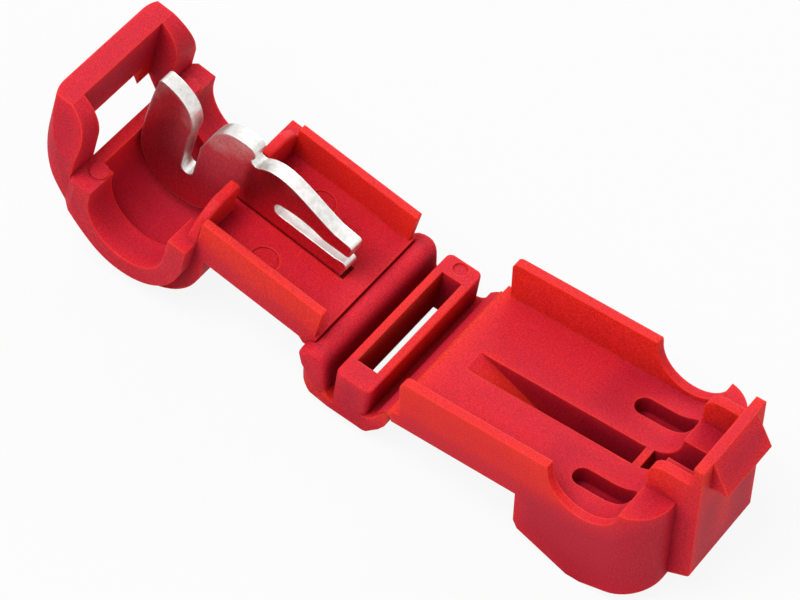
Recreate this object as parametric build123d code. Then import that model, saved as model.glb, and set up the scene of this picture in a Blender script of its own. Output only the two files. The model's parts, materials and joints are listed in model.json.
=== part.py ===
from build123d import *
import math
import os

# Open T-tap wire splice: one nylon moulding with two living hinges, and a stamped contact.
# Base, link and cover are each drawn in a frame of their own: X along the part, Y across it and
# Z out of the tray. The base runs to -X from its hinged end and the cover to +X from its own,
# with Z zero at the underside of the tray floor. The link starts at the first hinge line.
# Sizes are millimetres and angles are degrees.

# Fold at each hinge as the part lies open
open_fold = 6.7

# Fits between the closed halves, the contact and the tab
fold_gap = 0.15
wall_gap = 0.35
rim_gap = 0.2
latch_gap = 0.25
frame_play = 0.55
contact_fit = 0.05
groove_fit = 0.22
horn_gap = 0.7
pocket_gap = 0.2
tab_side_play = 0.4
tab_face_play = 0.2

# Living hinges
web_thickness = 0.3
hinge_gap = 0.05
hinge_setback = 0.5
hinge_drop = 0.25
lip_run = 0.7

# The tab and the wire that the splice joins
tab_width = 6.35
tab_thickness = 0.8
wire_place = 11.2
wire_slot = 0.75

# Trays
floor_thickness = 0.8
cover_width = 10.0
cover_wall = 0.5
cover_wall_height = 3.35
base_wall = 0.43
base_wall_height = 2.8
wall_corner = 0.4

# Link: the block round the tab mouth and the straps beside it
link_inset = 0.15
link_pitch = 4.6
link_depth = 2.55
block_length = 2.1
block_rise = 0.55
strap_floor = 0.6
strap_wall = 0.55
strap_bulge = 1.05
strap_corner = 1.2
block_round = 0.35
mouth_lead = 0.25

# Contact
contact_thickness = 0.85
contact_end = 1.3
contact_shift = 0.1
contact_sink = 0.3
horn_top = 5.05
horn_width = 2.4
body_radius = 2.8
body_bottom = -2.6
slot_bottom = 0.1
slot_mouth = 2.4
tine_slot_end = 5.95
tine_height = 0.8
tine_crest = 0.5
tine_nip = 0.12
tip_round = 0.2
notch_place = 3.5
notch_size = 0.3
notch_drop = 0.9

# Wire channel and cradle of the base
channel_radius = 2.4
channel_depth = 0.55
cradle_bulge = 0.66
cradle_reach = 0.1
cradle_wall = 1.1
pocket_width = 6.4
pocket_sink = 0.9
belly_radius = 4.2
belly_drop = 0.9
partition_height = 3.0
partition_thickness = 0.6
partition_inner = 1.2
partition_round = 0.2

# Latch frame of the base
frame_length = 2.6
frame_inset = 0.2
frame_height = 3.9
frame_bar = 1.25
frame_side = 1.8
frame_corner = 1.8
frame_taper = 0.9
frame_taper_foot = 1.2
frame_heel = 1.9
leg_drop = 2.0
leg_bulge = 0.36
ledge_height = -0.2

# Deep end of the cover: scoop, block, ears and latch
scoop_radius = 2.0
scoop_shift = 0.4
scoop_lip = 0.25
block_back = 4.1
block_heel = 2.3
block_bottom = 3.85
block_flat = 0.8
block_flat_back = 0.9
block_toe = 2.85
block_reach = 3.35
block_corner = 2.0
end_width = 5.4
end_toe = 2.1
end_round = 0.35
ear_width = 0.55
ear_top = 4.65
ear_reach = 1.65
ear_round = 0.9
latch_reach = 4.6
plate_thickness = 0.55
plate_top = 5.95
barb_reach = 1.0
barb_catch = 4.1
barb_width = 3.8

# Recesses in the cover floor
groove_start = 1.1
groove_slope = 3.6
bridge = 0.45
keel_wall = 0.75
relief_width = 1.1
relief_place = 2.7
relief_length = 3.5
relief_back = 2.3
relief_depth = 1.1

# Round marks that the ejector pins leave
mark_depth = 0.08
tray_mark_radius = 0.75
tray_mark_place = 4.75
tray_mark_side = 2.35
small_mark_radius = 0.4
ledge_mark_side = 3.75
link_mark_side = 4.3

# Heights and places that follow from the sizes above
hinge_height_base = web_thickness / 2 - hinge_drop
hinge_height_cover = web_thickness / 2
closed_height = hinge_height_base + link_pitch + hinge_height_cover
tab_middle = hinge_height_base + link_pitch / 2
link_block_start = (link_pitch - block_length) / 2
link_block_end = (link_pitch + block_length) / 2
wall_end = block_rise - hinge_setback + fold_gap
base_tray_width = cover_width - 2 * cover_wall - 2 * wall_gap
link_width = cover_width - 2 * link_inset
cradle_width = cover_width + 2 * cradle_reach
frame_width = cradle_width - 2 * frame_inset
rim_height = closed_height - cover_wall_height - rim_gap
cradle_start = -wire_place + channel_radius + cradle_wall
latch_face = wire_place + latch_reach
bar_face = -latch_face - frame_play
frame_end = bar_face - frame_bar
frame_start = frame_end + frame_length
window_top = closed_height - barb_catch + latch_gap
scoop_middle = wire_place - scoop_shift
scoop_rise = floor_thickness + scoop_radius
block_start = wire_place - block_back
block_end = wire_place + block_reach
groove_bottom = closed_height - horn_top - horn_gap
groove_width = contact_thickness + 2 * groove_fit
contact_foot = floor_thickness - contact_sink
slot_place = -wire_place + contact_shift
body_place = -wire_place - contact_shift
far_below = -3 * belly_radius
far_above = 3 * frame_height


def side_face(*edges):
    """Close lines and arcs drawn in the X-Z plane into a face."""
    return Plane.XZ * make_face(Curve() + list(edges))


def side_outline(*points):
    """A straight-sided face in the X-Z plane."""
    return side_face(Polyline(*points, close=True))


def across(face, width):
    """A solid of constant side profile, centred across the part."""
    return extrude(face, amount=width / 2, both=True)


def drum(x_mid, z_mid, radius, width):
    """A cylinder lying across the part."""
    return across(Plane.XZ * Pos(x_mid, z_mid) * Circle(radius), width)


def block(x_from, x_to, width, z_from, z_to, y_mid=0):
    """A rectangular volume given by its limits."""
    size = Box(x_to - x_from, width, z_to - z_from)
    return Pos((x_from + x_to) / 2, y_mid, (z_from + z_to) / 2) * size


def pair(solid):
    """A solid and its mirror image on the other side of the part."""
    return solid + mirror(solid, about=Plane.XZ)


def edges_beyond(solid, axis, x_limit):
    """Edges along an axis whose middle lies beyond a limit in X."""
    return solid.edges().filter_by(axis).filter_by(lambda edge: edge.center().X > x_limit)


def trough(x_mid, z_mid, radius, width):
    """A U-shaped hollow across the part, open upwards."""
    return drum(x_mid, z_mid, radius, width) + block(
        x_mid - radius, x_mid + radius, width, z_mid, far_above
    )


def cradle_profile():
    """Side profile of cradle and latch frame: a round rim that runs up into the frame."""
    rim_radius = channel_radius + cradle_wall
    centre = Vector(-wire_place, -channel_depth)
    low_left = centre + Vector(-rim_radius, 0).rotate(Axis.Z, 60)
    heel = Vector(frame_end, frame_heel)
    right = (centre.X + rim_radius, centre.Y)
    ledge = -wire_place - channel_radius
    return side_face(
        Line((right[0], rim_height), right),
        RadiusArc(right, low_left, rim_radius),
        SagittaArc(low_left, heel, cradle_bulge),
        Polyline(heel, (frame_end, frame_height), (bar_face, frame_height)),
        SagittaArc(
            (bar_face, frame_height), (frame_start, frame_height - leg_drop), leg_bulge,
        ),
        Polyline(
            (frame_start, frame_height - leg_drop), (frame_start, ledge_height),
            (ledge, ledge_height), (ledge, centre.Y), (ledge + 2 * channel_radius, centre.Y),
            (ledge + 2 * channel_radius, rim_height), (right[0], rim_height),
        ),
    )


def cradle():
    """The wire cradle and the latch frame, narrowed and rounded at the frame's end."""
    shoulder = frame_start + (cradle_width - frame_width)
    half_frame = frame_width / 2
    half_cradle = cradle_width / 2
    plan = make_face(Polyline(
        (frame_end, -half_frame), (frame_start, -half_frame), (shoulder, -half_cradle),
        (cradle_start, -half_cradle), (cradle_start, half_cradle),
        (shoulder, half_cradle), (frame_start, half_frame), (frame_end, half_frame),
        close=True,
    ))
    plan = fillet(plan.vertices().sort_by(Axis.X)[:2], frame_corner)
    seen_above = extrude(Pos(0, 0, far_below) * plan, amount=far_above - far_below)
    seen_along = Pos(frame_end, 0, 0) * extrude(Plane.YZ * frame_section(), amount=-frame_end)
    return across(cradle_profile(), cradle_width) & seen_above & seen_along


def frame_section():
    """Cross-section of the cradle, and of the frame that leans in towards its top."""
    half_cradle = cradle_width / 2
    half_frame = frame_width / 2
    half_top = half_frame - frame_taper
    return make_face(Polyline(
        (-half_cradle, far_below), (half_cradle, far_below), (half_cradle, frame_taper_foot),
        (half_frame, frame_taper_foot), (half_top, frame_height), (-half_top, frame_height),
        (-half_frame, frame_taper_foot), (-half_cradle, frame_taper_foot), close=True,
    ))


def belly():
    """Round underside of the cradle, as wide as the tray."""
    round_part = drum(-wire_place, -belly_drop, belly_radius, base_tray_width)
    round_part -= block(far_below * 2, 0, cradle_width, 0, far_above)
    return round_part


def partition():
    """Wall between cradle and tray, with a gap for the contact and a round fall to the rim."""
    tray_half = base_tray_width / 2
    foot = (tray_half + wall_gap / 2, rim_height)
    shoulder = ((partition_inner + tray_half) / 2, partition_height)
    fall = (partition_height - rim_height) / 6
    edge = make_face(Curve() + [
        Polyline(
            foot, (foot[0], 0), (partition_inner, 0), (partition_inner, partition_height), shoulder,
        ),
        SagittaArc(shoulder, foot, fall),
    ])
    wall = Pos(cradle_start - partition_thickness, 0, 0) * extrude(
        Plane.YZ * edge, amount=partition_thickness
    )
    crown = wall.edges().filter_by(lambda rim: rim.center().Z > rim_height)
    crown = crown.filter_by(lambda rim: rim.center().Y > partition_inner)
    return pair(fillet(crown, partition_round))


def base_tray():
    """The low-walled tray that carries the tines of the contact."""
    inside = base_tray_width - 2 * base_wall
    floor_end = -wall_end + fold_gap
    tray = block(cradle_start, -wall_end, base_tray_width, 0, base_wall_height)
    tray -= block(cradle_start, hinge_setback, inside, floor_thickness, far_above)
    tray += block(cradle_start, floor_end, base_tray_width, 0, floor_thickness)
    return tray + base_lip()


def base_lip():
    """Thin lip under the tray floor that ends in the web bead on the first hinge line."""
    low = hinge_height_base - web_thickness / 2
    high = hinge_height_base + web_thickness / 2
    lip = across(side_outline(
        (hinge_setback, low), (hinge_setback, high), (-lip_run - web_thickness, high),
        (-lip_run - web_thickness, 0), (-lip_run, low),
    ), base_tray_width)
    return lip + drum(hinge_setback, hinge_height_base, web_thickness / 2, base_tray_width)


def base_hollows():
    """Pocket for the contact body, contact slot, latch window and barb way."""
    pocket_radius = body_radius + pocket_gap
    pocket = trough(body_place, body_bottom - pocket_sink + pocket_radius, pocket_radius, pocket_width)
    window = block(bar_face, frame_start, frame_width - 2 * frame_side, far_below, far_above)
    barb_way = block(
        frame_end - frame_bar, bar_face + wall_gap, barb_width + 2 * latch_gap, far_below, window_top
    )
    throat = block(
        cradle_start - 2 * cradle_wall, cradle_start, 2 * partition_inner, floor_thickness, far_above
    )
    contact_slot = block(
        -wire_place, -contact_end + 2 * contact_fit, contact_thickness + 2 * contact_fit,
        contact_foot - contact_fit, far_above,
    )
    return [pocket, window, barb_way, throat, contact_slot, *base_marks()]


def mark(x, y, z, radius):
    """Shallow round recess in a surface that faces up."""
    return Pos(x, y, z) * Cylinder(radius, 2 * mark_depth)


def base_marks():
    """Ejector marks in the tray floor and on the ledge beside the window."""
    ledge_middle = (frame_start - wire_place - channel_radius) / 2
    marks = []
    for side in (-1, 1):
        marks.append(mark(-tray_mark_place, side * tray_mark_side, floor_thickness, tray_mark_radius))
        marks.append(mark(ledge_middle, side * ledge_mark_side, ledge_height, small_mark_radius))
    return marks


def base_shell():
    """Base half of the moulding: cradle, latch frame and tray."""
    channel = trough(-wire_place, -channel_depth, channel_radius, 2 * cradle_width)
    shell = cradle() + belly() + base_tray() - channel
    shell += partition()
    for hollow in base_hollows():
        shell -= hollow
    return shell


def near_slot(*points):
    """Points given by their distance from the middle of the wire slot."""
    return [(slot_place + x, z) for x, z in points]


def near_end(*points):
    """Points given by their distance from the tines' ends and from the tab's middle."""
    return [(-contact_end - x, tab_middle + z) for x, z in points]


def horn_edges():
    """From the notch beside the tines round both horns and the wire slot."""
    half_slot = wire_slot / 2
    notch = horn_top - notch_drop
    horn = notch_place - 2 * notch_size
    return [
        ThreePointArc(*near_slot(
            (notch_place + notch_size, notch), (notch_place, notch - notch_size / 2),
            (notch_place - notch_size, notch + notch_size / 2),
        )),
        ThreePointArc(*near_slot(
            (notch_place - notch_size, notch + notch_size / 2),
            (notch_place - notch_size / 2, notch + 2 * notch_size),
            (notch_place - 1.5 * notch_size, notch + 3 * notch_size),
        )),
        Spline(*near_slot(
            (notch_place - 1.5 * notch_size, notch + 3 * notch_size), (0.75 * horn, horn_top),
            (0.45 * horn, horn_top - 0.15 * horn), (0.27 * horn, horn_top - 0.45 * horn),
            (half_slot, slot_mouth),
        )),
        Line(*near_slot((half_slot, slot_mouth), (half_slot, slot_bottom))),
        ThreePointArc(*near_slot(
            (half_slot, slot_bottom), (0, slot_bottom - half_slot), (-half_slot, slot_bottom),
        )),
        Line(*near_slot((-half_slot, slot_bottom), (-half_slot, slot_mouth))),
        Spline(*near_slot(
            (-half_slot, slot_mouth), (-half_slot - 0.01 * horn_width, horn_top - 0.6 * horn_width),
            (-0.32 * horn_width, horn_top - 0.32 * horn_width),
            (-0.67 * horn_width, horn_top - 0.08 * horn_width), (-horn_width, horn_top),
        )),
    ]


def tine_edges():
    """The contact's straight foot and lower tine, the tine slot and the arched upper tine."""
    half = tab_thickness / 2
    slot_end = tine_slot_end - contact_end
    top = half + tine_height
    crest = horn_top - tine_crest - tab_middle
    reach = -slot_place - notch_place - notch_size - contact_end

    def arched(share, rise):
        """A point on the upper tine's back, from its tip to the notch."""
        return (share * reach, top + rise * (crest - top))

    return [
        Line(*near_end((tip_round, contact_foot - tab_middle), (0, -half - 2 * tip_round))),
        ThreePointArc(*near_end(
            (0, -half - 2 * tip_round), (tip_round / 2, -half + tip_round / 4),
            (2 * tip_round, -half + tip_round / 3),
        )),
        Polyline(*near_end(
            (2 * tip_round, -half + tip_round / 3), (4 * tip_round, -half), (slot_end - half, -half),
        )),
        ThreePointArc(*near_end((slot_end - half, -half), (slot_end, 0), (slot_end - half, half))),
        Spline(*near_end(
            (slot_end - half, half), (0.65 * slot_end, half + tine_nip),
            (0.35 * slot_end, half - tine_nip),
        )),
        Line(*near_end((0.35 * slot_end, half - tine_nip), (tip_round, half - tine_nip / 2))),
        RadiusArc(*near_end((tip_round, half - tine_nip / 2), (0, half + tip_round)), -tip_round * 1.1),
        Line(*near_end((0, half + tip_round), (0, top - tip_round))),
        RadiusArc(*near_end((0, top - tip_round), (tip_round, top)), -tip_round * 1.1),
        Line(*near_end((tip_round, top), arched(0.2, 0.08))),
        Spline(
            *near_end(arched(0.2, 0.08), arched(0.4, 0.43), arched(0.63, 0.85), arched(0.8, 1)),
            *near_slot((notch_place + notch_size, horn_top - notch_drop)),
        ),
    ]


def contact():
    """Stamped contact: two horns round the wire slot, and two tines for the tab."""
    body_middle = body_bottom + body_radius
    left = body_place - body_radius
    foot_start = body_place + math.sqrt(body_radius**2 - (contact_foot - body_middle) ** 2)
    tip = near_slot(
        (-horn_width, horn_top), (-horn_width - 1.5 * tip_round, horn_top - tip_round / 4),
        (-horn_width - 2 * tip_round, horn_top - 1.75 * tip_round),
    )
    outline = side_face(
        ThreePointArc((left, body_middle), (body_place, body_bottom), (foot_start, contact_foot)),
        Line((foot_start, contact_foot), (-contact_end - tip_round, contact_foot)),
        *tine_edges(),
        *horn_edges(),
        ThreePointArc(*tip),
        Spline(tip[-1], (left, 0.9 * slot_mouth), (left, body_middle)),
    )
    return across(outline, contact_thickness)


def mouth():
    """Hole for the tab through the link's block, with a lead-in on the outside."""
    half = tab_thickness / 2 + tab_face_play
    middle = link_pitch / 2
    width = tab_width + 2 * tab_side_play
    hole = block(middle - half, middle + half, width, -2 * link_depth, 2 * link_depth)
    lead = across(side_outline(
        (middle - half, mouth_lead - link_depth), (middle + half, mouth_lead - link_depth),
        (middle + half + 2 * mouth_lead, -mouth_lead - link_depth),
        (middle - half - 2 * mouth_lead, -mouth_lead - link_depth),
    ), width)
    return hole + lead


def link_profile():
    """Side profile of the link under the block: a strap and a trough on each side."""
    tip = web_thickness / 2 + hinge_gap
    under_lip = hinge_height_base - web_thickness / 2 - hinge_gap
    trough_left = -link_depth + strap_floor
    trough_right = trough_left + strap_wall
    fall = trough_left + tip / 2
    rise = -trough_right - tip / 3
    run = link_block_start - tip
    rest = link_pitch - tip - link_block_end
    return side_face(
        Spline(
            (tip, -tip / 2), (tip + 0.3 * run, 0.25 * fall - tip / 2),
            (tip + 0.6 * run, 0.75 * fall - tip / 2), (link_block_start, trough_left),
        ),
        Line((link_block_start, trough_left), (link_block_end, trough_right)),
        Spline(
            (link_block_end, trough_right), (link_block_end + 0.3 * rest, trough_right + 0.15 * rise),
            (link_block_end + 0.65 * rest, trough_right + 0.6 * rise), (link_pitch - tip, -tip / 3),
        ),
        Polyline(
            (link_pitch - tip, -tip / 3), (link_pitch, -1.35 * tip),
            (link_pitch - tip / 2, -2 * strap_wall), (link_pitch - 2 * tip, -3 * strap_wall),
            (link_block_end + tip, tip / 2 - link_depth), (link_block_end, -link_depth),
            (link_block_start - tip / 2, -link_depth), (0, tip - link_depth),
            (-strap_wall, trough_left), (-0.9 * strap_bulge, -link_depth / 3),
        ),
        ThreePointArc(
            (-0.9 * strap_bulge, -link_depth / 3), (-strap_bulge, -strap_wall),
            (-0.8 * strap_bulge, 1.5 * under_lip),
        ),
        Polyline(
            (-0.8 * strap_bulge, 1.5 * under_lip), (-2 * tip, 1.3 * under_lip), (-tip / 5, under_lip),
            (tip, -tip / 2),
        ),
    )


def entry_link():
    """Middle of the moulding: the block round the tab mouth, with a strap to each web."""
    plan = Pos(link_pitch / 2 - strap_bulge / 2, 0) * Rectangle(link_pitch + strap_bulge, link_width)
    plan = fillet(plan.vertices().sort_by(Axis.X)[:2], strap_corner)
    shape = extrude(Pos(0, 0, -2 * link_depth) * plan, amount=4 * link_depth)
    raised = block(
        link_block_start, link_block_end, link_width, strap_floor - 1.5 * link_depth, block_rise
    )
    raised = fillet(raised.edges().filter_by(Axis.Z), block_round)
    raised = fillet(raised.edges().group_by(Axis.Z)[-1], block_round / 3)
    raised &= block(-link_pitch, 2 * link_pitch, link_width, -link_depth, link_pitch)
    solid = across(link_profile(), link_width) & shape
    pin_mark = mark(link_pitch / 2, link_mark_side, block_rise, small_mark_radius)
    return solid + raised - mouth() - pin_mark


def cover_body():
    """Walls, floor and deep end of the cover in side profile, before the hollows are cut."""
    scoop_left = scoop_middle - scoop_radius
    scoop_right = scoop_middle + scoop_radius
    wall_stop = scoop_left - scoop_lip / 5
    flat_start = wire_place - block_flat_back
    outline = side_face(
        Polyline(
            (wall_end, 0), (wall_end, cover_wall_height), (wall_stop, cover_wall_height),
            (scoop_left, cover_wall_height - scoop_lip),
        ),
        ThreePointArc(
            (scoop_left, cover_wall_height - scoop_lip),
            (scoop_middle, floor_thickness + scoop_lip),
            (scoop_right, scoop_rise),
        ),
        Polyline(
            (scoop_right, scoop_rise), (block_end, scoop_rise), (block_end, -block_toe),
            (flat_start + block_flat, -block_bottom), (flat_start, -block_bottom),
            (block_start + scoop_lip, -block_heel - scoop_lip),
            (block_start, -block_heel + scoop_lip), (block_start, 0), (wall_end, 0),
        ),
    )
    solid = across(outline, cover_width)
    solid = fillet(edges_beyond(solid, Axis.Z, block_end - block_corner), block_corner)
    wall_tops = solid.edges().filter_by(Axis.Y).group_by(Axis.X)[0].sort_by(Axis.Z)[-1:]
    return fillet(wall_tops, wall_corner)


def cover_hollow():
    """Inside of the cover: the tray floor running up into the scoop."""
    start = scoop_middle
    rise = scoop_radius * (1 - math.sqrt(0.5))
    run = scoop_radius * math.sqrt(0.5)
    outline = side_face(
        Line((-scoop_radius, floor_thickness), (start, floor_thickness)),
        ThreePointArc(
            (start, floor_thickness), (start + run, floor_thickness + rise),
            (start + scoop_radius, scoop_rise),
        ),
        Polyline(
            (start + scoop_radius, scoop_rise), (start + scoop_radius, far_above),
            (-scoop_radius, far_above), (-scoop_radius, floor_thickness),
        ),
    )
    return across(outline, cover_width - 2 * cover_wall)


def latch():
    """Latch plate with its barb, the narrow end block and the two ears."""
    plate_back = latch_face - plate_thickness
    end = across(side_outline(
        (block_end - block_round, scoop_rise), (latch_face, scoop_rise), (latch_face, -end_toe),
        (block_end - block_round, -block_toe),
    ), end_width)
    heel = end.edges().filter_by(Axis.Y).group_by(Axis.X)[-1].sort_by(Axis.Z)[:1]
    plate = block(plate_back, latch_face, end_width, 0, plate_top)
    barb = across(side_outline(
        (plate_back, barb_catch), (latch_face + barb_reach, barb_catch),
        (latch_face + barb_reach, barb_catch + mark_depth), (latch_face, plate_top),
        (plate_back, plate_top),
    ), barb_width)
    ear = block(
        wire_place + ear_reach, latch_face, ear_width, floor_thickness, ear_top,
        y_mid=(end_width - ear_width) / 2,
    )
    brow = ear.edges().filter_by(Axis.Y).group_by(Axis.X)[0].sort_by(Axis.Z)[-1:]
    return fillet(heel, end_round) + plate + barb + pair(fillet(brow, ear_round))


def recesses():
    """Contact grooves, with the bridge that pushes the wire home, and the relief slots."""
    bridge_start = -slot_place - bridge / 2
    slope_end = groove_start + groove_slope
    groove = across(side_outline(
        (groove_start, floor_thickness), (slope_end, groove_bottom), (bridge_start, groove_bottom),
        (bridge_start, far_above), (groove_start, far_above),
    ), groove_width)
    horn_pocket = block(
        bridge_start + bridge, latch_face - plate_thickness, groove_width, groove_bottom, barb_catch
    )
    relief_mid = wire_place - relief_back + relief_length / 2
    relief = extrude(
        Pos(relief_mid, relief_place, floor_thickness - relief_depth)
        * SlotOverall(relief_length, relief_width),
        amount=scoop_rise,
    )
    return groove + horn_pocket + pair(relief)


def keel():
    """Rib under the floor that gives the groove its depth."""
    bottom = groove_bottom - keel_wall
    slope_end = groove_start + groove_slope
    return across(side_outline(
        (groove_start + keel_wall, 0), (slope_end + keel_wall, bottom), (block_start + 0.5, bottom),
        (block_start + 0.5, floor_thickness / 2), (groove_start + keel_wall, floor_thickness / 2),
    ), groove_width + 2 * keel_wall)


def cover_shell():
    """Cover half of the moulding."""
    floor_start = fold_gap - 2 * wall_end
    shell = cover_body() - cover_hollow()
    shell += block(floor_start, wall_end + cover_wall, cover_width, 0, floor_thickness)
    shell += latch() + keel()
    shell -= recesses()
    bead = drum(-hinge_setback, hinge_height_cover, web_thickness / 2, link_width)
    lip = block(-hinge_setback, floor_start + web_thickness, link_width, 0, web_thickness)
    return shell + bead + lip


def on_link(solid, hinge_x, hinge_z, link_x, fold):
    """Turn a half about its hinge line and set it at its end of the link."""
    return Pos(link_x, 0, 0) * Rot(0, fold, 0) * Pos(-hinge_x, 0, -hinge_z) * solid


def beside_base(solid):
    """Base frame to link frame, as the part lies open."""
    return on_link(solid, hinge_setback, hinge_height_base, 0, open_fold)


def beside_cover(solid):
    """Cover frame to link frame, as the part lies open."""
    return on_link(solid, -hinge_setback, hinge_height_cover, link_pitch, -open_fold)


def rest_tilt():
    """Turn that lets the round belly and the deep block touch one level surface."""
    middle = Vector(-wire_place - hinge_setback, 0, -belly_drop - hinge_height_base)
    middle = middle.rotate(Axis.Y, open_fold)
    corner = Vector(
        wire_place - block_flat_back + hinge_setback, 0, -block_bottom - hinge_height_cover
    )
    corner = corner.rotate(Axis.Y, -open_fold) + Vector(link_pitch, 0, 0)
    span = corner - middle
    return math.degrees(math.atan2(span.Z, span.X) + math.asin(belly_radius / span.length))


parts = {
    "base_shell": beside_base(base_shell()),
    "contact": beside_base(contact()),
    "entry_link": entry_link(),
    "cover_shell": beside_cover(cover_shell()),
}
parts = {name: Rot(0, rest_tilt(), 0) * solid for name, solid in parts.items()}
box = Compound(children=[solid.solid() for solid in parts.values()]).bounding_box()
to_origin = Pos(-box.center().X, 0, -box.min.Z)

os.makedirs("parts", exist_ok=True)
for name, solid in parts.items():
    export_step(to_origin * solid, f"parts/{name}.step")
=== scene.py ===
import json
import math

import bmesh
import bpy
from mathutils import Matrix, Vector


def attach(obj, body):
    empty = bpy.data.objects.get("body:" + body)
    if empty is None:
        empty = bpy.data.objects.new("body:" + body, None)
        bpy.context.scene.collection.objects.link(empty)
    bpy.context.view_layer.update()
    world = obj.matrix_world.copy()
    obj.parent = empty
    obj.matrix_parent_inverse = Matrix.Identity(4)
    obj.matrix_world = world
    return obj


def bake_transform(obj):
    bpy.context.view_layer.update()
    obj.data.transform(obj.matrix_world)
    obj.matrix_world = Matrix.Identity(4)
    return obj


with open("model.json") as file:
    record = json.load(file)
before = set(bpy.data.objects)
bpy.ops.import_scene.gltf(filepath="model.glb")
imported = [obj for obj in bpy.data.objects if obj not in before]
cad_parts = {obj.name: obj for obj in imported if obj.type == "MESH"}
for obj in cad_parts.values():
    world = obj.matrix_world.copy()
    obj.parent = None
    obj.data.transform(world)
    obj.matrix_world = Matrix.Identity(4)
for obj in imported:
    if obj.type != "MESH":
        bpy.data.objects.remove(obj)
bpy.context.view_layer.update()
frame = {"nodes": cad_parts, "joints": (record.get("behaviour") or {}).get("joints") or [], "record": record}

# The looks of an open wire splice: red moulded nylon and a stamped, tinned contact.
# Named lengths are millimetres and angles are degrees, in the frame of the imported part, and MM
# brings them to the scene's metres.
MM = 0.001
record = frame["record"]
hinges = {joint["name"]: Vector(joint["pos_m"]) for joint in frame["joints"]}
sides = {"near": -1, "far": 1}

# Camera: the place and turn that the photograph was taken from, with its focus in pixels
photo_width = 800
photo_focus = 3643.4
sensor_width = 36.0
eye = Vector((53.142, -95.576, 146.827)) * MM
azimuth = 29.257
elevation = 52.345
roll = 8.641
nearest_seen = 10
farthest_seen = 5000

# Webs of the living hinges: outlines along and above the link, from a hinge line
base_web_crest = [
    (0.0, 0.73), (0.22, 0.65), (0.40, 0.50), (0.53, 0.27), (0.62, -0.02), (0.68, -0.40),
    (0.74, -0.90), (0.92, -1.50),
]
base_web_top = [(-0.47, 0.60), (-0.40, 0.70), (-0.25, 0.74)] + base_web_crest + [(1.10, -1.78)]
base_web_under = [
    (-0.47, 0.05), (0.05, 0.0), (0.30, -0.45), (0.45, -0.95), (0.70, -1.55), (1.05, -1.95),
]
base_web_bend = (-0.47, 0.75)
base_web_width = 8.36
cover_web_top = [(-0.62, -0.42), (-0.35, -0.12), (-0.1, 0.09), (0.1, 0.17), (0.26, 0.2)]
cover_web_under = [(-0.62, -0.60), (-0.35, -0.30), (-0.1, -0.12), (0.1, -0.1), (0.26, 0.0)]
cover_web_bend = (-0.35, 0.3)
cover_web_width = 9.6

# Ends of the strap, flush with the base's web
strap_end_top = [(-1.00, 0.05), (-0.92, 0.34), (-0.70, 0.55), (-0.35, 0.70)] + base_web_crest
strap_end_under = [(0.85, -2.0), (0.25, -2.0), (-0.30, -1.30), (-0.78, -0.60)]
strap_width = 9.86
strap_end_round = 0.32
strap_end_round_segments = 4
rim_tolerance = 0.01

# Ledge beside the latch window: its outline along the base from its hinge line and out from the
# middle, and its underside and top above the base
base_fold = 6.7
ledge_outline = [
    (-15.495, 4.15), (-14.105, 4.15), (-14.105, 5.095), (-15.25, 5.095), (-15.40, 4.94),
    (-15.495, 4.84),
]
ledge_under = -0.15
ledge_top = 0.1
pin_mark_along = -14.66
pin_mark_side = 3.66
pin_mark_radius = 0.52
pin_mark_height = 0.09
pin_mark_round = 0.03
pin_mark_segments = 40
pin_mark_round_segments = 2
smooth_angle = 40

# Nylon: colours as seen on a display, from a thin wall to the mass, with the share of the wall's
# reach that each stands at. They paint light and shade: the orange of a thin wall is painted light
# coming through it, and the darker crimson of the mass is painted shade.
nylon_colours_and_through_light = [
    (0.08, (232, 48, 32)), (0.28, (206, 30, 42)), (0.50, (206, 34, 50)), (1.0, (184, 28, 46)),
]
# Painted light: paler orange on edges that stand out, as if lit through the thin edge
painted_edge_light = (242, 66, 44)
edge_light_share = 0.7
# Painted shade: tints that darken the nylon in creases and hollows with little open space over them
painted_hollow_shade = [
    (0.12, (0.52, 0.38, 0.46, 1)), (0.42, (0.74, 0.70, 0.78, 1)), (0.80, (1, 1, 1, 1)),
]
speck_tints = [(0.36, (0.70, 0.60, 0.66, 1)), (0.64, (1.24, 1.6, 1.5, 1))]
speck_share = 0.75
web_thickness = 0.60
thickness_cloud = 0.05
wall_reach = 1.1
hollow_reach = 3.6
standing_reach = 0.3
standing_between = (0.80, 0.98)
# Radius and mask range of the painted edge light
edge_light_radius = 0.14
edge_light_between = (0.90, 0.995)
nylon_soft_radius = 0.16
cloud_depth = 0.04
cloud_strength = 0.3
grain_depth = 0.014
grain_strength = 0.5
nylon_roughness = (0.56, 0.70)
nylon_shine = 0.18
shine_from = 0.35
nylon_glow = 0.55
nylon_glow_radius = (0.8, 0.06, 0.06)

# Tin: colours as seen on a display. The flat sides carry a painted reflection of the red, less so
# towards their tops.
tin_painted_reflection = [(0.10, (206, 98, 120)), (0.70, (208, 80, 92)), (0.98, (216, 162, 158))]
tin_rolled = (206, 190, 188)
tin_sheared = [(0.32, (204, 201, 197)), (0.60, (232, 230, 227))]
fleck_tints = [(0.35, (0.72, 0.70, 0.70, 1)), (0.65, (1.25, 1.3, 1.3, 1))]
fleck_share = 0.6
side_foot = 4.5
side_crown = 10.4
side_cloud = 0.22
side_between = (0.80, 0.97)
rolled_radius = 0.26
rolled_between = (0.72, 0.985)
tin_soft_radius = 0.08
streak_depth = 0.01
streak_strength = 0.5
tin_roughness = (0.30, 0.44)

# Patterns, with their features per metre, and the values between which noise mostly stays
grain_pattern = {"scale": 9000, "detail": 3}
cloud_pattern = {"scale": 420, "detail": 3}
speck_pattern = {"scale": 15000, "detail": 2}
streak_pattern = {"scale": 2400, "detail": 5, "stretch": (0.3, 1, 2.5), "roughness": 0.7}
smudge_pattern = {"scale": 300, "detail": 3}
fleck_pattern = {"scale": 13000, "detail": 2}
noise_low = 0.3
noise_high = 0.7
reach_samples = 5
edge_samples = 4

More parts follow.
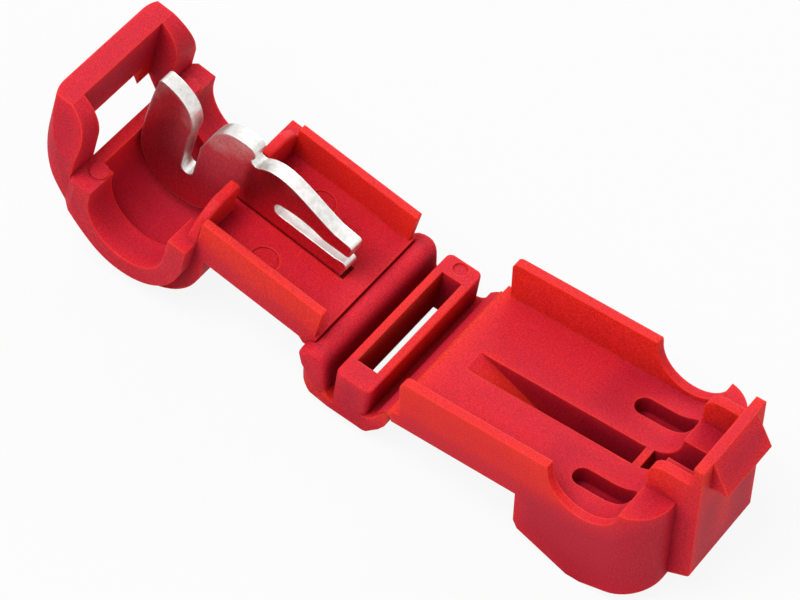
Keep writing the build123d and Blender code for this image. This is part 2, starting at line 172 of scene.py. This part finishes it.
# Light: each lamp's place and size in metres, power in watts and share of gloss
lamps = {
    "key": {"place": (-0.08, -0.14, 0.32), "size": 0.22, "power": 1.25, "gloss": 1.8},
    "fill": {"place": (0.28, -0.10, 0.14), "size": 0.25, "power": 0.22, "gloss": 0.3},
    "rim": {"place": (-0.05, 0.30, 0.15), "size": 0.20, "power": 0.60, "gloss": 0.3},
}
lamp_target = Vector((0, 0, 4)) * MM
white = (1, 1, 1, 1)
sky_strength = 0.28
floor_reach = 1500
floor_colour = (0.6, 0.6, 0.6, 1)
floor_roughness = 0.9
floor_shine = 0.1
floor_glow = 0.90


def srgb(red, green, blue):
    """A colour written in display values from 0 to 255, as linear values for a shader."""
    def linear(value):
        share = value / 255
        return share / 12.92 if share <= 0.04045 else ((share + 0.055) / 1.055) ** 2.4
    return (linear(red), linear(green), linear(blue), 1.0)


def display(stops):
    """Stops of (place, display colour) with their colours as linear values."""
    return [(place, srgb(*colour)) for place, colour in stops]


def node(tree, kind, inputs=None, **settings):
    """Add a shader node, set its properties, and set or link its inputs."""
    made = tree.nodes.new(kind)
    for name, value in settings.items():
        setattr(made, name, value)
    for name, value in (inputs or {}).items():
        socket = made.inputs[name]
        if isinstance(value, bpy.types.NodeSocket):
            tree.links.new(value, socket)
        else:
            socket.default_value = value
    return made


def ramp(tree, factor, stops):
    """A colour ramp through stops of (place, colour)."""
    made = node(tree, "ShaderNodeValToRGB", {"Fac": factor})
    steps = made.color_ramp.elements
    for index, (place, colour) in enumerate(stops):
        step = steps[index] if index < 2 else steps.new(place)
        step.position = place
        step.color = colour
    return made.outputs["Color"]


def new_material(name):
    """An empty node material with its surface shader."""
    material = bpy.data.materials.new(name)
    material.use_nodes = True
    tree = material.node_tree
    return material, tree, tree.nodes["Principled BSDF"]


def object_noise(tree, scale, detail, stretch=(1, 1, 1), roughness=0.55):
    """Noise on object coordinates, with a scale in features per metre."""
    place = node(tree, "ShaderNodeTexCoord").outputs["Object"]
    mapped = node(tree, "ShaderNodeMapping", {"Vector": place, "Scale": stretch})
    made = node(tree, "ShaderNodeTexNoise", {
        "Vector": mapped.outputs["Vector"], "Scale": scale, "Detail": detail,
        "Roughness": roughness,
    })
    return made.outputs["Fac"]


def reach(tree, distance, inside):
    """How open the space is over a surface, or how thick the wall is behind it, from 0 to 1."""
    made = node(tree, "ShaderNodeAmbientOcclusion", {"Distance": distance * MM},
                samples=reach_samples, inside=inside)
    return made.outputs["AO"]


def scaled(tree, value, low, high, to_low=0.0, to_high=1.0):
    """A value from one range brought to another."""
    made = node(tree, "ShaderNodeMapRange", {
        "Value": value, "From Min": low, "From Max": high, "To Min": to_low, "To Max": to_high,
    })
    return made.outputs["Result"]


def noise_between(tree, noise, to_low, to_high):
    """Noise brought to a range."""
    return scaled(tree, noise, noise_low, noise_high, to_low, to_high)


def arithmetic(tree, operation, first, second=0.0):
    """One sum, product or other operation on two values."""
    return node(tree, "ShaderNodeMath", {0: first, 1: second}, operation=operation).outputs[0]


def mixed(tree, factor, first, second, blend_type="MIX"):
    """Two colours mixed."""
    made = node(tree, "ShaderNodeMix", {
        "Factor": factor, "A": first, "B": second,
    }, data_type="RGBA", blend_type=blend_type)
    return made.outputs["Result"]


def dappled(tree, share, colour, noise, tints):
    """A colour with a share of it tinted by noise."""
    tint = ramp(tree, noise, tints)
    return mixed(tree, share, colour, mixed(tree, 1.0, colour, tint, "MULTIPLY"))


def soft_normal(tree, radius):
    """The surface's direction, with its edges rounded by a small radius."""
    made = node(tree, "ShaderNodeBevel", {"Radius": radius * MM}, samples=edge_samples)
    return made.outputs["Normal"]


def edge_mask(tree, radius, low, high):
    """0 on flat faces and 1 on corners that a small radius would round."""
    rounded = soft_normal(tree, radius)
    true_normal = node(tree, "ShaderNodeNewGeometry").outputs["Normal"]
    agree = node(tree, "ShaderNodeVectorMath", {0: rounded, 1: true_normal}, operation="DOT_PRODUCT")
    return scaled(tree, agree.outputs["Value"], high, low)


def raised(tree, height, depth, strength, normal=None):
    """A small relief from a height pattern, laid over an earlier direction of the surface."""
    inputs = {"Height": height, "Distance": depth * MM, "Strength": strength}
    if normal:
        inputs["Normal"] = normal
    return node(tree, "ShaderNodeBump", inputs).outputs["Normal"]


def paint_edge_light(tree, colour):
    """Painted light on edges that stand out: paler orange, as if lit through the thin edge, and not in
    corners that lie between walls.
    """
    standing = scaled(tree, reach(tree, standing_reach, False), *standing_between)
    corner = arithmetic(tree, "MULTIPLY", edge_mask(tree, edge_light_radius, *edge_light_between), standing)
    return mixed(tree, arithmetic(tree, "MULTIPLY", corner, edge_light_share), colour, srgb(*painted_edge_light))


def red_nylon(name, thickness=None):
    """Moulded red nylon with painted light and shade: orange as if lit through a thin wall, crimson
    where it is thick, and darker in creases and hollows.

    The wall's own thickness is measured. A piece that is moulded into another gives one instead,
    and its edges get no painted edge light, so that no seam shows.
    """
    material, tree, shader = new_material(name)
    grain = object_noise(tree, **grain_pattern)
    cloud = object_noise(tree, **cloud_pattern)
    speck = object_noise(tree, **speck_pattern)
    measured = thickness if thickness else reach(tree, wall_reach, True)
    uneven = noise_between(tree, cloud, -thickness_cloud, thickness_cloud)
    thick = arithmetic(tree, "ADD", measured, uneven)
    open_space = reach(tree, hollow_reach, False)
    # Painted light and shade: orange as if lit through where the wall is thin, crimson where it is thick
    base = ramp(tree, thick, display(nylon_colours_and_through_light))
    # Painted shade in creases and hollows
    shaded = mixed(tree, 1.0, base, ramp(tree, open_space, painted_hollow_shade), "MULTIPLY")
    colour = dappled(tree, speck_share, shaded, speck, speck_tints)
    rounded = None
    if not thickness:
        # Painted light on the edges that stand out
        colour = paint_edge_light(tree, colour)
        rounded = soft_normal(tree, nylon_soft_radius)
    waves = raised(tree, cloud, cloud_depth, cloud_strength, rounded)
    shine = scaled(tree, open_space, shine_from, 1.0, 0.0, nylon_shine)
    tree.links.new(colour, shader.inputs["Base Color"])
    tree.links.new(raised(tree, grain, grain_depth, grain_strength, waves), shader.inputs["Normal"])
    tree.links.new(noise_between(tree, grain, *nylon_roughness), shader.inputs["Roughness"])
    tree.links.new(shine, shader.inputs["Specular IOR Level"])
    shader.inputs["Subsurface Weight"].default_value = nylon_glow
    shader.inputs["Subsurface Radius"].default_value = Vector(nylon_glow_radius) * MM
    shader.inputs["Subsurface Scale"].default_value = 1.0
    return material


def tinned_brass():
    """Bright tin plate: pale sheared edges, and flat sides with a painted reflection of the red round them.
    """
    material, tree, shader = new_material("tinned_brass")
    streak = object_noise(tree, **streak_pattern)
    smudge = object_noise(tree, **smudge_pattern)
    fleck = object_noise(tree, **fleck_pattern)
    normal = node(tree, "ShaderNodeNewGeometry").outputs["Normal"]
    across = node(tree, "ShaderNodeSeparateXYZ", {0: normal}).outputs["Y"]
    flat = scaled(tree, arithmetic(tree, "ABSOLUTE", across), *side_between)
    place = node(tree, "ShaderNodeTexCoord").outputs["Object"]
    height = node(tree, "ShaderNodeSeparateXYZ", {0: place}).outputs["Z"]
    lift = arithmetic(tree, "ADD", scaled(tree, height, side_foot * MM, side_crown * MM),
                      noise_between(tree, smudge, -side_cloud, side_cloud))
    # Painted reflection of the red on the flat sides, paler towards their tops
    painted_reflection = ramp(tree, lift, display(tin_painted_reflection))
    painted_reflection = dappled(tree, fleck_share, painted_reflection, fleck, fleck_tints)
    rolled = edge_mask(tree, rolled_radius, *rolled_between)
    side = mixed(tree, rolled, painted_reflection, srgb(*tin_rolled))
    sheared = ramp(tree, streak, display(tin_sheared))
    rounded = soft_normal(tree, tin_soft_radius)
    tree.links.new(mixed(tree, flat, sheared, side), shader.inputs["Base Color"])
    tree.links.new(noise_between(tree, smudge, *tin_roughness), shader.inputs["Roughness"])
    relief = raised(tree, streak, streak_depth, streak_strength, rounded)
    tree.links.new(relief, shader.inputs["Normal"])
    shader.inputs["Metallic"].default_value = 1.0
    return material


def finish_nodes():
    """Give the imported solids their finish."""
    slots = {part["node"]: part["material_slot"] for part in record["subparts"]}
    for name, solid in frame["nodes"].items():
        for place in solid.material_slots:
            place.material = finishes[slots[name]]


def hinge_place(hinge, along, height, fold=0.0):
    """A place along and above the link, or a half folded up from it, from a hinge."""
    run = (hinges["cover_web"] - hinges["base_web"]).normalized()
    run.rotate(Matrix.Rotation(math.radians(fold), 3, "Y"))
    rise = Vector((-run.z, 0, run.x))
    return hinge + (run * along + rise * height) * MM


def drawn_out(corners, shift):
    """A flat face through the corners, drawn out along a shift into a closed solid."""
    build = bmesh.new()
    face = build.faces.new([build.verts.new(corner) for corner in corners])
    grown = bmesh.ops.extrude_face_region(build, geom=[face])["geom"]
    moved = [item for item in grown if isinstance(item, bmesh.types.BMVert)]
    bmesh.ops.translate(build, vec=shift, verts=moved)
    bmesh.ops.recalc_face_normals(build, faces=build.faces)
    return build


def swept(outline, hinge, low, high):
    """A side outline drawn across the part from one place to another."""
    shift = Vector((0, low * MM, 0))
    corners = [hinge_place(hinge, *place) + shift for place in outline]
    return drawn_out(corners, Vector((0, (high - low) * MM, 0)))


def bevelled(build, edges, offset, segments):
    """Round some edges of a piece."""
    bmesh.ops.bevel(build, geom=edges, offset=offset * MM, segments=segments, profile=0.5,
                    affect="EDGES", clamp_overlap=True, material=-1)


def moulded(build, name):
    """Turn a bmesh into a smooth red piece."""
    mesh = bpy.data.meshes.new(name)
    build.to_mesh(mesh)
    build.free()
    mesh.materials.append(finishes["web_nylon"])
    mesh.shade_smooth()
    mesh.set_sharp_from_angle(angle=math.radians(smooth_angle))
    piece = bpy.data.objects.new(name, mesh)
    bpy.context.scene.collection.objects.link(piece)
    return piece


def living_hinge(name, hinge, top, under, width, bend):
    """Thin web between one body and the other, built in place as a fixed piece."""
    build = swept(top + under[::-1], hinge, -width / 2, width / 2)
    web = moulded(build, name)
    hinge_place(hinge, bend[0], 0)
    hinge_place(hinge, bend[1], 0)
    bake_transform(web)


def living_hinges():
    """The two webs, each from the lip of a half to the strap of the link."""
    living_hinge("base_web_strip", hinges["base_web"], base_web_top, base_web_under,
                 base_web_width, base_web_bend)
    living_hinge("cover_web_strip", hinges["cover_web"], cover_web_top, cover_web_under,
                 cover_web_width, cover_web_bend)


def strap_ends():
    """Rounded ends of the strap, which stand up beside the base's lip."""
    for name, side in sides.items():
        inner, outer = side * base_web_width / 2, side * strap_width / 2
        build = swept(strap_end_top + strap_end_under, hinges["base_web"], inner, outer)
        rim = [edge for edge in build.edges
               if all(abs(vert.co.y - outer * MM) < rim_tolerance * MM for vert in edge.verts)]
        bevelled(build, rim, strap_end_round, strap_end_round_segments)
        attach(moulded(build, "strap_end_" + name), "link")


def base_turn():
    """The turn from level to the base's own tilt."""
    span = hinges["cover_web"] - hinges["base_web"]
    return Matrix.Rotation(math.radians(base_fold) + math.atan2(-span.z, span.x), 3, "Y")


def ledge_pad(side):
    """The flat top of the ledge on one side."""
    rise = base_turn() @ Vector((0, 0, (ledge_top - ledge_under) * MM))
    corners = [hinge_place(hinges["base_web"], along, ledge_under, base_fold)
               + Vector((0, side * out * MM, 0)) for along, out in ledge_outline]
    return drawn_out(corners, rise)


def pin_mark(side):
    """The round mark that an ejector pin of the mould left on the ledge."""
    disc = bmesh.new()
    bmesh.ops.create_cone(disc, cap_ends=True, segments=pin_mark_segments,
                          radius1=pin_mark_radius * MM, radius2=pin_mark_radius * MM,
                          depth=2 * pin_mark_height * MM)
    rim = [edge for edge in disc.edges if all(vert.co.z > 0 for vert in edge.verts)]
    bevelled(disc, rim, pin_mark_round, pin_mark_round_segments)
    middle = hinge_place(hinges["base_web"], pin_mark_along, ledge_top, base_fold)
    middle.y = side * pin_mark_side * MM
    placed = Matrix.Translation(middle) @ base_turn().to_4x4()
    bmesh.ops.transform(disc, matrix=placed, verts=disc.verts)
    return disc


def ledges():
    """Flat ledges on both sides of the latch window, each with a pin mark."""
    for name, side in sides.items():
        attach(moulded(ledge_pad(side), "ledge_pad_" + name), "base")
        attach(moulded(pin_mark(side), "pin_mark_" + name), "base")


def place_camera():
    """The photograph's camera, with its small roll."""
    data = bpy.data.cameras.new("photo_camera")
    data.sensor_width = sensor_width
    data.lens = photo_focus / photo_width * sensor_width
    data.clip_start = nearest_seen * MM
    data.clip_end = farthest_seen * MM
    camera = bpy.data.objects.new("photo_camera", data)
    bpy.context.scene.collection.objects.link(camera)
    turn, lift, lean = (math.radians(value) for value in (azimuth, elevation, roll))
    back = Vector((math.sin(turn) * math.cos(lift), -math.cos(turn) * math.cos(lift), math.sin(lift)))
    level = Vector((math.cos(turn), math.sin(turn), 0))
    right = (Matrix.Rotation(lean, 3, back) @ level).normalized()
    up = back.cross(right)
    camera.matrix_world = Matrix.Translation(eye) @ Matrix((right, up, back)).transposed().to_4x4()
    bpy.context.scene.camera = camera


def soft_box(name, place, size, power, gloss):
    """A square area lamp that faces the part."""
    data = bpy.data.lights.new(name, "AREA")
    data.size = size
    data.energy = power
    data.specular_factor = gloss
    lamp = bpy.data.objects.new(name, data)
    lamp.location = place
    lamp.rotation_euler = (lamp_target - Vector(place)).to_track_quat("-Z", "Y").to_euler()
    bpy.context.scene.collection.objects.link(lamp)


def seen_directly(tree):
    """1 for rays from the camera, off gloss or through glass, and 0 for light on its way."""
    path = node(tree, "ShaderNodeLightPath").outputs
    seen = arithmetic(tree, "MAXIMUM", path["Is Camera Ray"], path["Is Glossy Ray"])
    return arithmetic(tree, "MAXIMUM", seen, path["Is Transmission Ray"])


def light_studio():
    """Soft studio light from above and the left, and a white surround."""
    bpy.context.scene.view_settings.view_transform = "Standard"
    for name, lamp in lamps.items():
        soft_box(name, **lamp)
    world = bpy.data.worlds.new("surround")
    bpy.context.scene.world = world
    world.use_nodes = True
    tree = world.node_tree
    tree.nodes.clear()
    strength = scaled(tree, seen_directly(tree), 0.0, 1.0, sky_strength, 1.0)
    ground = node(tree, "ShaderNodeBackground", {"Color": white, "Strength": strength})
    out = node(tree, "ShaderNodeOutputWorld", {"Surface": ground.outputs[0]})
    out.is_active_output = True


def pale_floor():
    """A matt grey that shows nearly white and still takes the part's shadow."""
    material, tree, shader = new_material("pale_floor")
    shader.inputs["Base Color"].default_value = floor_colour
    shader.inputs["Roughness"].default_value = floor_roughness
    shader.inputs["Specular IOR Level"].default_value = floor_shine
    share = arithmetic(tree, "MULTIPLY", seen_directly(tree), floor_glow)
    glow = node(tree, "ShaderNodeEmission", {"Color": white, "Strength": 1.0})
    surface = node(tree, "ShaderNodeMixShader", {0: share, 1: shader.outputs[0], 2: glow.outputs[0]})
    tree.links.new(surface.outputs[0], tree.nodes["Material Output"].inputs["Surface"])
    return material


def lay_floor():
    """A wide pale sheet that the part lies on."""
    mesh = bpy.data.meshes.new("floor")
    build = bmesh.new()
    bmesh.ops.create_grid(build, x_segments=1, y_segments=1, size=floor_reach * MM)
    build.to_mesh(mesh)
    build.free()
    mesh.materials.append(pale_floor())
    floor = bpy.data.objects.new("floor", mesh)
    bpy.context.scene.collection.objects.link(floor)


finishes = {
    "red_nylon": red_nylon("red_nylon"), "tinned_brass": tinned_brass(),
    "web_nylon": red_nylon("web_nylon", web_thickness),
}
finish_nodes()
living_hinges()
strap_ends()
ledges()
place_camera()
light_studio()
lay_floor()
